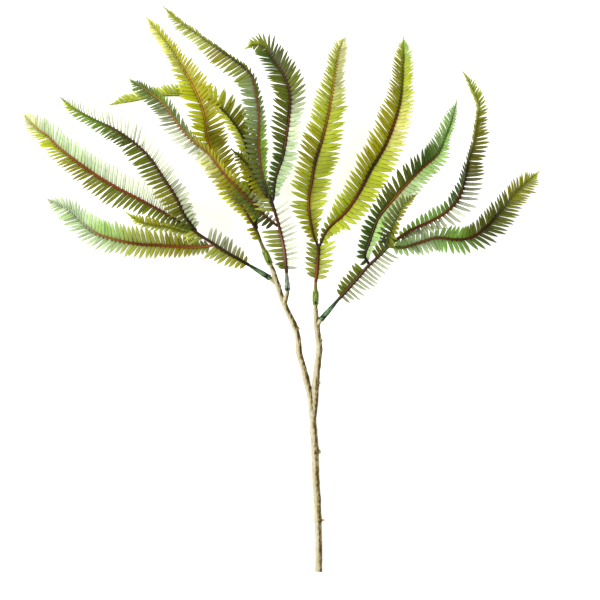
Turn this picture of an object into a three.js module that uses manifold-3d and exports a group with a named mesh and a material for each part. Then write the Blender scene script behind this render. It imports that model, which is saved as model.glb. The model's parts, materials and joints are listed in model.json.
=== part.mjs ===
// An artificial asplenium (spleenwort) spray, laid down on a table with the faces of its fronds up.
// A forked woody stem ends in pegs, and five green sleeves slip over them. A leafy twig grows out of
// each sleeve and carries one to four fronds. Millimetres, +Z up, +Y from the cut end to the tips.
import * as THREE from "three";
import { mergeVertices } from "three/addons/utils/BufferGeometryUtils.js";
import Module from "manifold-3d";

const wasm = await Module();
wasm.setup();

// The middle of the box that the spray lies in, measured from the point its paths are drawn around.
const ORIGIN = new THREE.Vector3(0.44, -0.92, 0);

// The moulded leaf: one plate of one thickness, with a raised rib and leaflets cut down to the rib.
const BLADE = 0.8;
const LEAFLET_PITCH = 8.4;
const LEAFLET_HALF_WIDTH = 3.4;
const LEAFLET_FILL = 0.42;
const LEAFLET_SHOULDER = 0.52;
const RIB_HALF_WIDTH = 1.1;
const RIB_TAPER = 0.55;
const RIDGE_HEIGHT = 1.3;
const RIDGE_TAPER = 0.45;
const STALK = 5;
const TIP_LENGTH = 15;
const TIP_EASE = 22;
const RISE = 24;

// Angles in degrees between a leaflet and the rib, from the bottom of a frond to its tip.
const SWEEP = [86, 82, 76, 70, 62, 48];

// The stem, and what slips over its pegs.
const STEM_SIDES = 10;
const STEM_STEP = 11;
const ARM_STEP = 6;
const NUB_SIDES = 6;
const PEG_RADIUS = 2.7;
const PEG_DEPTH = 9;
const GAP = 0.35;
const SLEEVE_RADIUS = 4.7;
const SLEEVE_LIP = 0.3;
const SLEEVE_WAIST = 3.3;
const SLEEVE_WALL = 1.5;
const SLEEVE_NECK = 2.1;
const SLEEVE_SIDES = 12;
const SLEEVE_CUP = 11;
const NAIL_HOLE_RADIUS = 1.1;
const NAIL_HOLE_PLACE = 5;
const NAIL_HOLE_LENGTH = 8;
const SLEEVE_BORE_TOP = 2.5;
const CURVE_DIVISIONS = 600;

const COLOURS = {
  wood: 0xbca882,
  sleeve: 0x3f6a4c,
  olive: 0x587014,
  dark: 0x3c5a12,
  yellow: 0xa8ad14,
  lime: 0x98a81c,
};

const v3 = (p) => new THREE.Vector3(p[0], p[1], p[2]);
const curveThrough = (points) => {
  const curve = new THREE.CatmullRomCurve3(points.map(v3), false, "centripetal");
  curve.arcLengthDivisions = CURVE_DIVISIONS;
  return curve;
};

// The value at t, from 0 to 1, of a list of values spread evenly along a frond.
function spread(values, t) {
  const place = THREE.MathUtils.clamp(t, 0, 1) * (values.length - 1);
  const i = Math.min(Math.floor(place), values.length - 2);
  return THREE.MathUtils.lerp(values[i], values[i + 1], THREE.MathUtils.smoothstep(place - i, 0, 1));
}

class Shell {
  constructor() {
    this.points = [];
    this.faces = [];
  }

  point(p) {
    this.points.push(p.x, p.y, p.z);
    return this.points.length / 3 - 1;
  }

  // A fan of triangles over a ring of points, counter-clockwise from outside.
  face(...ring) {
    for (let i = 1; i < ring.length - 1; i++) this.faces.push(ring[0], ring[i], ring[i + 1]);
  }

  geometry() {
    const geometry = new THREE.BufferGeometry();
    geometry.setAttribute("position", new THREE.Float32BufferAttribute(this.points, 3));
    geometry.setIndex(this.faces);
    return geometry;
  }
}

// A frond or a leafy twig. Places on it are (along, out): millimetres along its path, and out from it
// on the left (side -1) or the right (side 1), where the blade rises like one half of an open book.
class Frond {
  constructor({ path, twist = [0, 0], rise = RISE, rib = RIB_HALF_WIDTH }) {
    this.curve = curveThrough(path);
    this.length = this.curve.getLength();
    this.twist = twist;
    this.rise = rise;
    this.rib = rib;
  }

  axes(along) {
    const t = THREE.MathUtils.clamp(along / this.length, 0, 1);
    const tangent = this.curve.getTangentAt(t);
    const centre = this.curve.getPointAt(t).addScaledVector(tangent, along - t * this.length);
    const right = new THREE.Vector3().crossVectors(tangent, new THREE.Vector3(0, 0, 1)).normalize();
    const up = new THREE.Vector3().crossVectors(right, tangent);
    return { t, centre, tangent, right, up };
  }

  // The upper and lower points of the blade at a place.
  blade(along, out, side) {
    const { t, centre, right, up } = this.axes(along);
    const lift = THREE.MathUtils.degToRad(side * spread(this.twist, t) + this.rise);
    const point = centre.clone();
    point.addScaledVector(right, side * out * Math.cos(lift)).addScaledVector(up, out * Math.sin(lift));
    point.z = Math.max(point.z, BLADE / 2);
    const normal = up.clone().multiplyScalar(Math.cos(lift));
    normal.addScaledVector(right, -side * Math.sin(lift)).multiplyScalar(BLADE / 2);
    return [point.clone().add(normal), point.clone().sub(normal)];
  }

  ridge(along) {
    const { t, centre, right, up } = this.axes(along);
    const turn = THREE.MathUtils.degToRad(spread(this.twist, t));
    const taper = THREE.MathUtils.lerp(1, RIDGE_TAPER, t) * (this.rib / RIB_HALF_WIDTH);
    const height = BLADE / 2 + RIDGE_HEIGHT * taper;
    centre.z = Math.max(centre.z, BLADE / 2);
    centre.addScaledVector(right, -height * Math.sin(turn));
    return centre.addScaledVector(up, height * Math.cos(turn));
  }

  ribHalf(along) {
    return this.rib * THREE.MathUtils.lerp(1, RIB_TAPER, THREE.MathUtils.clamp(along / this.length, 0, 1));
  }
}

// How long the leaflet at a place is: they shorten evenly over the last stretch before the tip.
function lengthAt(reach, along, length) {
  return spread(reach, along / length) * Math.min(1, (length - along) / TIP_EASE);
}

// One closed plate with a comb edge. Each leaflet stands between two notches that reach the rib.
function leafGeometry(spec) {
  const { reach, stalk = STALK, tip = TIP_LENGTH, sweep = SWEEP } = spec;
  const { pitch = LEAFLET_PITCH, bare = [[], []] } = spec;
  const frond = new Frond(spec);
  const shell = new Shell();
  const pointed = tip > 0;
  const leafy = frond.length - stalk - tip;
  const count = Math.round(leafy / pitch);
  const step = leafy / count;
  const notches = [0];
  for (let i = 0; i <= count; i++) notches.push(stalk + i * step);

  const both = (place) => place.map((p) => shell.point(p));
  const rootOf = (along, side) => both(frond.blade(along, frond.ribHalf(along), side));
  const left = notches.map((along) => rootOf(along, -1));
  const right = notches.map((along) => rootOf(along, 1));
  const ridge = notches.map((along) => shell.point(frond.ridge(along)));

  // The wall between two places on an edge, walked with the blade on the left hand of side 1.
  const wall = (from, to, side) => {
    if (side > 0) shell.face(from[0], from[1], to[1], to[0]);
    else shell.face(to[0], to[1], from[1], from[0]);
  };
  const plate = (a, b, c, side) => {
    if (side > 0) {
      shell.face(a[0], b[0], c[0]);
      shell.face(c[1], b[1], a[1]);
    } else {
      shell.face(c[0], b[0], a[0]);
      shell.face(a[1], b[1], c[1]);
    }
  };

  for (let i = 0; i < notches.length - 1; i++) {
    shell.face(left[i][0], ridge[i], ridge[i + 1], left[i + 1][0]);
    shell.face(ridge[i], right[i][0], right[i + 1][0], ridge[i + 1]);
    shell.face(left[i][1], left[i + 1][1], right[i + 1][1], right[i][1]);
    for (const side of [-1, 1]) {
      const roots = side > 0 ? right : left;
      const near = roots[i];
      const far = roots[i + 1];
      const hand = side > 0 ? 1 : 0;
      const skipped = i === 0 || bare[hand].includes(i - 1);
      if (skipped) {
        wall(near, far, side);
        continue;
      }
      const middle = (notches[i] + notches[i + 1]) / 2;
      const t = middle / frond.length;
      const angle = THREE.MathUtils.degToRad(spread(sweep, t));
      const leaflet = pointed ? lengthAt(reach[hand], middle, frond.length) : spread(reach[hand], t);
      const half = Math.min(LEAFLET_HALF_WIDTH, LEAFLET_FILL * step) * Math.sin(angle);
      const out = frond.ribHalf(middle);
      const along = Math.cos(angle);
      const across = Math.sin(angle);
      const shoulderReach = leaflet * LEAFLET_SHOULDER;
      const shoulder = both(
        frond.blade(
          middle + shoulderReach * along - half * across,
          out + shoulderReach * across + half * along,
          side,
        ),
      );
      const point = both(frond.blade(middle + leaflet * along, out + leaflet * across, side));
      plate(near, shoulder, far, side);
      plate(shoulder, point, far, side);
      wall(near, shoulder, side);
      wall(shoulder, point, side);
      wall(point, far, side);
    }
  }

  const last = notches.length - 1;
  shell.face(ridge[0], left[0][0], left[0][1], right[0][1], right[0][0]);
  if (pointed) {
    const end = both(frond.blade(frond.length, 0, 1));
    shell.face(left[last][0], ridge[last], end[0]);
    shell.face(ridge[last], right[last][0], end[0]);
    shell.face(left[last][1], end[1], right[last][1]);
    wall(right[last], end, 1);
    wall(left[last], end, -1);
  } else {
    shell.face(ridge[last], right[last][0], right[last][1], left[last][1], left[last][0]);
  }
  return shell.geometry();
}

// A closed round bar along a path: radii are spread evenly along it, and rings are local swellings,
// each [millimetres along, how much it stands out, half its length].
function barGeometry({ path, radii, rings = [], sides = STEM_SIDES, step = STEM_STEP, grain = 0 }) {
  const curve = curveThrough(path);
  const length = curve.getLength();
  const count = Math.max(1, Math.round(length / step));
  const shell = new Shell();
  const stations = [];
  let across = new THREE.Vector3(1, 0, 0);
  for (let i = 0; i <= count; i++) {
    const t = i / count;
    const along = t * length;
    const tangent = curve.getTangentAt(t);
    const centre = curve.getPointAt(t);
    const up = new THREE.Vector3().crossVectors(across, tangent).normalize();
    across = new THREE.Vector3().crossVectors(tangent, up).normalize();
    const ring = [];
    for (let k = 0; k < sides; k++) {
      const turn = (2 * Math.PI * k) / sides;
      let radius = spread(radii, t);
      for (const [at, stands, half] of rings) radius += stands * Math.exp(-(((along - at) / half) ** 2));
      radius += grain * Math.sin(3 * turn + along * 0.21) + grain * Math.cos(2 * turn - along * 0.13);
      const point = centre.clone();
      point.addScaledVector(across, radius * Math.cos(turn)).addScaledVector(up, -radius * Math.sin(turn));
      point.z = Math.max(point.z, 0);
      ring.push(shell.point(point));
    }
    stations.push(ring);
  }
  for (let i = 0; i < count; i++) {
    for (let k = 0; k < sides; k++) {
      const next = (k + 1) % sides;
      shell.face(stations[i][k], stations[i][next], stations[i + 1][next], stations[i + 1][k]);
    }
  }
  shell.face(...stations[0].slice().reverse());
  shell.face(...stations[count]);
  return shell.geometry();
}

function solidOf(geometry) {
  const bare = geometry.clone();
  bare.deleteAttribute("normal");
  bare.deleteAttribute("uv");
  const merged = mergeVertices(bare, 1e-4);
  return new wasm.Manifold(
    new wasm.Mesh({
      numProp: 3,
      vertProperties: new Float32Array(merged.attributes.position.array),
      triVerts: new Uint32Array(merged.index.array),
    }),
  );
}

function geometryOf(solid) {
  const mesh = solid.getMesh();
  const geometry = new THREE.BufferGeometry();
  geometry.setAttribute("position", new THREE.BufferAttribute(new Float32Array(mesh.vertProperties), 3));
  geometry.setIndex(new THREE.BufferAttribute(new Uint32Array(mesh.triVerts), 1));
  return geometry;
}

const spray = new THREE.Group();
spray.name = "asplenium_spray";
spray.position.copy(ORIGIN).negate();

function place(name, geometry, colour, roughness) {
  const shaded = geometry.clone();
  shaded.computeVertexNormals();
  const material = new THREE.MeshStandardMaterial({ color: colour, roughness, metalness: 0 });
  const mesh = new THREE.Mesh(shaded, material);
  mesh.name = name;
  spray.add(mesh);
}

// The five sleeves: where each one's mouth and neck are, and its colour.
const SLEEVES = {
  a: { mouth: [-15.5, 14.5, 29.5], neck: [-42, 31, 35], colour: COLOURS.sleeve },
  b: { mouth: [-13, 32, 34], neck: [-26, 62, 44], colour: COLOURS.lime },
  c: { mouth: [10, -2, 35], neck: [9, 21, 58], colour: COLOURS.sleeve },
  d: { mouth: [48, -22, 27], neck: [48, 8, 45], colour: COLOURS.lime },
  e: { mouth: [57, -40.5, 23.5], neck: [79, -15, 30], colour: COLOURS.sleeve },
};

// A point on a sleeve's axis, in millimetres from its mouth towards its neck.
function onSleeve({ mouth, neck }, distance) {
  const axis = v3(neck).sub(v3(mouth)).normalize();
  return v3(mouth).addScaledVector(axis, distance);
}

// The stem: trunk and left branch are one bar, the right branch leaves it at the crotch, and short
// side arms carry the pegs of sleeves A, C and E.
const asPoint = (v) => [v.x, v.y, v.z];
const pegPath = (sleeve, before) => [
  asPoint(onSleeve(sleeve, -before)),
  asPoint(onSleeve(sleeve, PEG_DEPTH)),
];
const STEM_BARS = [
  {
    path: [
      [52, -383, 4.2], [52, -341, 4.2], [51, -313, 4.2], [50, -286, 4.3], [48, -256, 4.6],
      [47, -219, 5.2], [45, -192, 5.6], [43, -165, 6], [41, -148, 6.5], [36, -127, 8],
      [31, -106, 10], [26, -88, 12.5], [24, -67, 15], [19, -50, 17.5], [10, -31, 21],
      [2, -12, 24.5], [-4, 7, 28], [-9, 22, 31.2],
    ],
    radii: [4.9, 4.9, 4.9, 5, 5.2, 5.1, 4.5, 4.4, 4.2, 4, 3.8, 3.5],
    rings: [[69, 0.9, 4], [98, 0.5, 6], [165, 0.8, 5], [190, 0.5, 5], [262, 0.7, 5], [338, 0.8, 5]],
    grain: 0.22,
  },
  {
    path: [
      [45, -174, 6], [47, -154, 6.5], [48, -132, 8], [51, -102, 11], [53, -81, 13.5],
      [51, -62, 16], [49, -45, 19.5], [48, -33, 22.4],
    ],
    radii: [4.2, 4.5, 4.4, 4.3, 4.2, 3.9, 3.6],
    rings: [[44, 0.8, 5], [92, 0.8, 5], [124, 0.5, 4]],
    grain: 0.2,
  },
  { path: [[-3, 4, 27], ...pegPath(SLEEVES.a, 1.5)], radii: [3, 3, PEG_RADIUS, PEG_RADIUS], step: ARM_STEP },
  { path: pegPath(SLEEVES.b, 14), radii: [3.4, PEG_RADIUS, PEG_RADIUS], step: ARM_STEP },
  {
    path: [[6, -20, 23.5], [9.6, -8, 29.5], ...pegPath(SLEEVES.c, 1)],
    radii: [3.6, 2.9, PEG_RADIUS, PEG_RADIUS],
    step: ARM_STEP,
  },
  { path: pegPath(SLEEVES.d, 14), radii: [3.6, PEG_RADIUS, PEG_RADIUS], step: ARM_STEP },
  { path: [[49, -52, 18], ...pegPath(SLEEVES.e, 1)], radii: [3.2, PEG_RADIUS, PEG_RADIUS], step: ARM_STEP },
];
const STEM_NUBS = [
  { path: [[52, -313, 5], [61, -313, 6]], radii: [2.4, 1] },
  { path: [[47, -220, 5.5], [55.5, -221, 7]], radii: [2.6, 1.6] },
  { path: [[20, -52, 17.5], [27, -55, 19]], radii: [2.4, 1.4] },
  { path: [[48, -130, 9], [54.6, -127, 11]], radii: [2.2, 1.3] },
  { path: [[52, -74, 14.5], [57.6, -70, 16]], radii: [2.2, 1.4] },
];
const stem = [...STEM_BARS, ...STEM_NUBS]
  .map((bar) => solidOf(barGeometry({ sides: bar.radii.length > 2 ? STEM_SIDES : NUB_SIDES, ...bar })))
  .reduce((whole, bar) => whole.add(bar));
place("stem", geometryOf(stem), COLOURS.wood, 0.6);

// A sleeve is a tapered cup: the peg stands in its blind hole, and a nail hole pierces one wall.
function sleeveGeometry(sleeve) {
  const length = v3(sleeve.neck).distanceTo(v3(sleeve.mouth));
  const bore = SLEEVE_RADIUS - SLEEVE_WALL;
  const profile = [
    [0, SLEEVE_CUP], [bore, SLEEVE_CUP - 1.5], [bore, 0], [SLEEVE_RADIUS, 0],
    [SLEEVE_RADIUS + SLEEVE_LIP, 1.6], [SLEEVE_RADIUS - SLEEVE_LIP, 7],
    [SLEEVE_WAIST, length * 0.62], [SLEEVE_NECK, length], [0, length],
  ];
  const lathe = new THREE.LatheGeometry(profile.map(([r, y]) => new THREE.Vector2(r, y)), SLEEVE_SIDES);
  const axis = v3(sleeve.neck).sub(v3(sleeve.mouth)).normalize();
  lathe.applyQuaternion(new THREE.Quaternion().setFromUnitVectors(new THREE.Vector3(0, 1, 0), axis));
  lathe.translate(...sleeve.mouth);
  const at = onSleeve(sleeve, NAIL_HOLE_PLACE);
  const hole = new THREE.CylinderGeometry(NAIL_HOLE_RADIUS, NAIL_HOLE_RADIUS, NAIL_HOLE_LENGTH, 8);
  hole.rotateX(Math.PI / 2);
  hole.translate(at.x, at.y, at.z + SLEEVE_BORE_TOP + NAIL_HOLE_LENGTH / 2);
  return geometryOf(solidOf(lathe).subtract(solidOf(hole)));
}
for (const [letter, sleeve] of Object.entries(SLEEVES)) {
  place(`sleeve_${letter}`, sleeveGeometry(sleeve), sleeve.colour, 0.4);
}

// The leafy twigs. Each starts clear of its sleeve's neck and ends square, where fronds go on. Bare
// lists the leaflets, counted from the sleeve, that the real twig lacks on its left and on its right.
const TWIG = { rib: 1.9, tip: 0, stalk: 4, pitch: 8.2, sweep: [86, 82, 74] };
const twigStart = (sleeve) => asPoint(onSleeve(sleeve, v3(sleeve.neck).distanceTo(v3(sleeve.mouth)) + GAP));
const TWIGS = {
  a: {
    path: [
      twigStart(SLEEVES.a), [-56, 39, 37.5], [-72, 48, 39], [-89, 59, 40], [-106, 70, 41], [-117, 78, 41],
    ],
    reach: [[14, 24, 26, 26, 24, 18], [12, 20, 23, 23, 20, 16]],
    colour: COLOURS.olive,
    bare: [[5, 6, 7, 8, 9], [8, 9]],
  },
  b: {
    path: [twigStart(SLEEVES.b), [-30, 74, 46], [-34, 82, 47]],
    reach: [[10, 16], [10, 16]],
    colour: COLOURS.yellow,
    bare: [[], [1]],
  },
  c: {
    path: [
      twigStart(SLEEVES.c), [8, 35, 66], [6, 51, 71], [3, 66, 74.5], [-1, 82, 77],
      [-7, 103, 79.5], [-12, 120, 81],
    ],
    reach: [[14, 24, 25, 25, 24, 22], [14, 24, 25, 25, 24, 22]],
    colour: COLOURS.dark,
    bare: [[7, 8, 9, 10, 11], [10, 11]],
  },
  d: {
    path: [twigStart(SLEEVES.d), [50, 21, 48.5], [51, 37, 50.5], [52, 50, 51], [52, 56, 50.5]],
    reach: [[12, 18, 20, 21, 22, 22], [10, 18, 22, 24, 28, 30]],
    colour: COLOURS.lime,
  },
  e: {
    path: [
      twigStart(SLEEVES.e), [92, -1, 35], [105, 14, 41.5], [118, 29, 47.5], [131, 41, 52],
      [145, 55, 55.5], [158, 66, 57],
    ],
    reach: [[12, 18, 20, 20, 20, 18], [14, 24, 28, 28, 26, 24]],
    colour: COLOURS.olive,
    bare: [[6, 7, 8, 11, 12, 13], [11, 12, 13]],
  },
};
for (const [letter, twig] of Object.entries(TWIGS)) {
  place(`twig_${letter}`, leafGeometry({ ...TWIG, ...twig }), twig.colour, 0.4);
}

// Where a frond starts: millimetres back from its twig's end, then forward, right and up from there.
function offTwig(letter, back, forward, right, up) {
  const twig = new Frond({ ...TWIG, ...TWIGS[letter] });
  const axes = twig.axes(twig.length - back);
  const start = axes.centre.addScaledVector(axes.tangent, forward);
  return asPoint(start.addScaledVector(axes.right, right).addScaledVector(axes.up, up));
}

// The fronds, each along the path of its rib. Twist turns the right-hand half up where it is positive.
// Reach is how long the leaflets are, from the bottom to the tip, on the left and on the right.
const FRONDS = {
  a1: {
    path: [
      offTwig("a", 0, GAP, 0, 0), [-145, 95, 41], [-181, 115, 39], [-215, 133, 35], [-246, 151, 30],
      [-273, 170, 24], [-300, 191, 15], [-311, 203, 11], [-326, 214, 7.5], [-350, 238, 0],
    ],
    reach: [[8, 19, 31, 26, 22, 11], [10, 30, 27, 26, 24, 17]],
    twist: [4, 4, 0, -6],
    colour: COLOURS.olive,
    bare: [[0], [0, 1]],
  },
  a2: {
    path: [
      offTwig("a", 3, 0, 2.5, 0.5), [-128, 99, 50], [-138, 120, 58], [-155, 147, 62], [-175, 176, 63],
      [-198, 197, 60], [-222, 213, 54], [-249, 226, 45], [-274, 240, 36], [-298, 258, 28],
    ],
    reach: [[12, 26, 28, 22, 17, 9], [12, 22, 23, 27, 19, 11]],
    twist: [6, 4, 0, 0],
    colour: COLOURS.olive,
  },
  a3: {
    path: [
      offTwig("a", 34, 0, -2.3, -0.8), [-105, 55, 31], [-129, 55, 23], [-159, 57, 18], [-191, 59, 14.5],
      [-222, 65, 11.5], [-244, 72, 9.5], [-262, 85, 7.5], [-283, 105, 4.5], [-319, 122, 0],
    ],
    reach: [[10, 18, 23, 27, 25, 13], [8, 22, 28, 26, 19, 9]],
    colour: COLOURS.olive,
  },
  a4: {
    path: [
      offTwig("a", 6, 0, -2.4, -0.8), [-130, 75, 36], [-150, 81, 33.5], [-172, 84, 32],
      [-189, 90, 30], [-209, 103, 26],
    ],
    reach: [[8, 12, 12, 12, 9, 5], [8, 12, 12, 12, 9, 5]],
    twist: [-18, -20, -10],
    colour: COLOURS.lime,
  },
  b1: {
    path: [
      offTwig("b", 0, GAP, 0, 0), [-49, 106, 46], [-63, 124, 44.5], [-74, 145, 44], [-90, 178, 46],
      [-98, 203, 49], [-101, 230, 51], [-112, 261, 50], [-128, 292, 46], [-150, 326, 38], [-181, 366, 25],
    ],
    reach: [[8, 22, 29, 31, 17, 10], [10, 25, 30, 27, 12, 9]],
    twist: [-6, -16, -20, -16, -4],
    colour: COLOURS.yellow,
    bare: [[], [0]],
  },
  b2: {
    path: [
      offTwig("b", 3, 0, 2.4, -1), [-38, 110, 36], [-40, 134, 29], [-41, 164, 25], [-48, 196, 22.5],
      [-64, 223, 20.5], [-85, 245, 17.5], [-106, 256, 15.5], [-135, 259, 13.5], [-166, 258, 11],
      [-198, 252, 7.5], [-232, 247, 3.5],
    ],
    reach: [[6, 16, 24, 24, 16, 8], [14, 21, 28, 30, 23, 14]],
    twist: [0, -2, -10, -36, -42, -60, -66, -64, -58],
    colour: COLOURS.yellow,
    bare: [[0, 1], [0]],
  },
  c1: {
    path: [
      offTwig("c", 3, 0, 2.5, 0.5), [-5, 147, 88], [4, 174, 93], [9, 200, 95], [13, 231, 93],
      [14, 257, 88], [7, 280, 81], [-10, 307, 71], [-21, 322, 65.5], [-33, 325, 61], [-48, 319, 56],
    ],
    reach: [[8, 17, 30, 29, 21, 9], [8, 21, 20, 26, 24, 12]],
    twist: [-8, -10, -8, 0],
    colour: COLOURS.dark,
  },
  c2: {
    path: [
      offTwig("c", 0, GAP, 0, 0), [-22, 150, 75], [-26, 174, 70], [-27, 204, 68], [-27, 233, 67],
      [-31, 259, 66], [-38, 285, 65], [-56, 302, 62], [-83, 321, 57], [-110, 340, 50],
      [-135, 358, 42], [-159, 381, 33],
    ],
    reach: [[8, 24, 25, 30, 18, 6], [6, 22, 20, 15, 12, 6]],
    twist: [26, 36, 38, 48, 56, 42, 24],
    colour: COLOURS.dark,
    bare: [[], [0, 1]],
  },
  c3: {
    path: [
      offTwig("c", 38, 0, -2.7, 0.4), [-21, 98, 81], [-41, 119, 84], [-58, 136, 84], [-76, 156, 81],
      [-95, 180, 77], [-120, 200, 73], [-138, 222, 69], [-156, 247, 64], [-179, 265, 57], [-205, 282, 49],
    ],
    reach: [[14, 20, 24, 24, 21, 12], [8, 18, 20, 24, 14, 8]],
    twist: [10, 24, 44, 44, 20, 6],
    colour: COLOURS.dark,
    bare: [[0], [0, 1]],
  },
  c4: {
    path: [
      offTwig("c", 6, 0, -2.5, -0.6), [-24, 134, 69], [-32, 148, 60], [-42, 164, 56],
      [-52, 174, 54], [-66, 187, 53],
    ],
    reach: [[10, 15, 15, 14, 10, 6], [10, 15, 15, 14, 10, 6]],
    twist: [10, 30, 30],
    rise: 10,
    colour: COLOURS.dark,
    bare: [[], [0, 1]],
  },
  d1: {
    path: [
      offTwig("d", 0, 0.9, -1.5, 0), [44, 76, 49.5], [40, 98, 48], [39, 119, 46], [43, 142, 43],
      [48, 170, 38.5], [57, 199, 32.5], [65, 231, 25.5], [71, 264, 17.5], [76, 299, 9.5],
      [81, 323, 4.5], [90, 343, 0],
    ],
    reach: [[8, 29, 33, 29, 19, 12], [4, 28, 34, 27, 16, 12]],
    colour: COLOURS.lime,
    bare: [[], [0, 1]],
  },
  d2: {
    path: [
      offTwig("d", 0, 0.9, 1.5, 0), [64, 78, 50], [86, 99, 49], [103, 122, 47.5], [121, 156, 44],
      [141, 190, 38.5], [155, 224, 32.5], [163, 256, 26.5], [166, 292, 20], [167, 320, 15], [166, 341, 11],
    ],
    reach: [[4, 27, 34, 34, 23, 13], [8, 27, 29, 26, 18, 11]],
    twist: [-4, -12, -12, -6],
    colour: COLOURS.lime,
    bare: [[0, 1, 2], []],
  },
  e1: {
    path: [
      offTwig("e", 52, 0, -2.6, 0.6), [114, 43, 57], [120, 61, 63], [132, 93, 68], [150, 116, 70],
      [172, 141, 69], [195, 164, 65.5], [211, 178, 61.5], [223, 204, 54], [232, 228, 46.5], [238, 255, 38],
    ],
    reach: [[12, 20, 29, 28, 20, 8], [5, 16, 23, 22, 8, 5]],
    twist: [0, -10, -12, -4],
    colour: COLOURS.olive,
    bare: [[], [0, 1, 2]],
  },
  e2: {
    path: [
      offTwig("e", 18, 0, -2.6, 0.8), [148, 73, 77], [154, 89, 86], [163, 105, 92],
      [174, 117, 94], [185, 127, 92],
    ],
    reach: [[8, 14, 15, 15, 12, 7], [8, 16, 16, 14, 10, 6]],
    twist: [10, 40, 36],
    colour: COLOURS.dark,
    bare: [[0, 1, 2], [0, 1]],
  },
  e3: {
    path: [
      offTwig("e", 0, GAP + 0.25, 0, 0), [175, 77, 61], [200, 88, 64], [222, 101, 65], [238, 118, 63.5],
      [247, 143, 59.5], [251, 168, 54.5], [259, 193, 48.5], [263, 220, 42], [266, 245, 36],
      [258, 267, 31], [245, 293, 25],
    ],
    reach: [[8, 18, 26, 22, 18, 8], [6, 17, 28, 26, 15, 8]],
    twist: [4, 0, -30, -56, -60, -56, -40],
    colour: COLOURS.olive,
    bare: [[], [0]],
  },
  e4: {
    path: [
      offTwig("e", 15, 0, 2.3, -1), [165, 54, 50], [185, 60, 46], [211, 67, 42], [235, 65, 38],
      [255, 67, 33], [274, 79, 27.5], [296, 102, 19.5], [322, 132, 10], [351, 158, 0],
    ],
    reach: [[8, 20, 17, 20, 20, 13], [10, 19, 21, 26, 21, 13]],
    colour: COLOURS.olive,
    bare: [[0, 1, 2], [0]],
  },
};
for (const [name, frond] of Object.entries(FRONDS)) {
  place(`frond_${name}`, leafGeometry(frond), frond.colour, 0.4);
}

export default spray;
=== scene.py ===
# An artificial asplenium (spleenwort) spray, lying on a white table with its fronds face up.
import json
import math

import bmesh
import bpy
import numpy as np
from mathutils import Matrix, Vector, noise

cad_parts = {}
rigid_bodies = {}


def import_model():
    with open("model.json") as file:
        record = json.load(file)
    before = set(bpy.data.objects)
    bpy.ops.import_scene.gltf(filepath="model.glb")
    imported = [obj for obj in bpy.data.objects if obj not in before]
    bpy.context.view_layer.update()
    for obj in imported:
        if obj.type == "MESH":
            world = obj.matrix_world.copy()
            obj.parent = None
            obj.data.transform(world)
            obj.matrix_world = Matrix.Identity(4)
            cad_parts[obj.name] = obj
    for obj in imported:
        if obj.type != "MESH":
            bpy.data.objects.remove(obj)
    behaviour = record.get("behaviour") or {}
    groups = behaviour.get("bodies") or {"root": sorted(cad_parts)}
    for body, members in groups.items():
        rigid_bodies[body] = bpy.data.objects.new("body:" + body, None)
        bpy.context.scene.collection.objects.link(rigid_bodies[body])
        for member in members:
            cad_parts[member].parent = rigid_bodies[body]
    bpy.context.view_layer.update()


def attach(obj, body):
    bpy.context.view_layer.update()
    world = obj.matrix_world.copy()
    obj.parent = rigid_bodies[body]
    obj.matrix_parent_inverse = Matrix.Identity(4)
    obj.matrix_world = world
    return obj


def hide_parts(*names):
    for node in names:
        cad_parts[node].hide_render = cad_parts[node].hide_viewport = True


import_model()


# The view. The spray is looked at from straight above, through a long lens, with the cut end of the
# stem at the bottom of the picture. The table is white. A wide soft light stands on the left, and a
# weak one at the upper right.
MM = 0.001
ORIGIN = (0.44, -0.92, 0.0)
PICTURE_WIDTH = 810.0
PICTURE_MIDDLE = (27.0, -16.2)
CAMERA_HEIGHT = 6000.0
SENSOR = 36.0

camera_data = bpy.data.cameras.new("camera")
camera_data.sensor_width = SENSOR
camera_data.lens = SENSOR * CAMERA_HEIGHT / PICTURE_WIDTH
camera_data.clip_end = 40.0
camera = bpy.data.objects.new("camera", camera_data)
camera.location = (
    (PICTURE_MIDDLE[0] - ORIGIN[0]) * MM,
    (PICTURE_MIDDLE[1] - ORIGIN[1]) * MM,
    CAMERA_HEIGHT * MM,
)
bpy.context.scene.collection.objects.link(camera)
bpy.context.scene.camera = camera
bpy.context.scene.view_settings.view_transform = "Standard"


def soft_light(name, place, aim, size, power, colour):
    data = bpy.data.lights.new(name, "AREA")
    data.shape = "DISK"
    data.size = size
    data.energy = power
    data.color = colour
    lamp = bpy.data.objects.new(name, data)
    lamp.location = place
    lamp.rotation_euler = (Vector(aim) - Vector(place)).to_track_quat("-Z", "Y").to_euler()
    bpy.context.scene.collection.objects.link(lamp)


soft_light("key_light", (-4.2, 0.6, 3.4), (0.0, 0.0, 0.0), 1.9, 325.0, (1.0, 0.985, 0.95))
soft_light("fill_light", (2.4, 2.6, 4.0), (0.0, 0.1, 0.0), 2.8, 30.0, (0.95, 0.98, 1.0))

world = bpy.data.worlds.new("studio")
world.use_nodes = True
sky = world.node_tree.nodes["Background"]
sky.inputs["Color"].default_value = (1.0, 1.0, 1.0, 1.0)
sky.inputs["Strength"].default_value = 0.55
bpy.context.scene.world = world

# How much light falls on the table. Paints are mixed this much deeper, so that they look as intended.
LIGHT = 1.65


def paint(r, g, b):
    """A colour as the eye sees it, 0 to 255, turned into the paint that looks so in this light."""
    return tuple((c / 255) ** 2.2 / LIGHT for c in (r, g, b))


def plain_material(name, colour, roughness):
    material = bpy.data.materials.new(name)
    material.use_nodes = True
    shader = material.node_tree.nodes["Principled BSDF"]
    shader.inputs["Base Color"].default_value = (*colour, 1.0)
    shader.inputs["Roughness"].default_value = roughness
    return material


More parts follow.
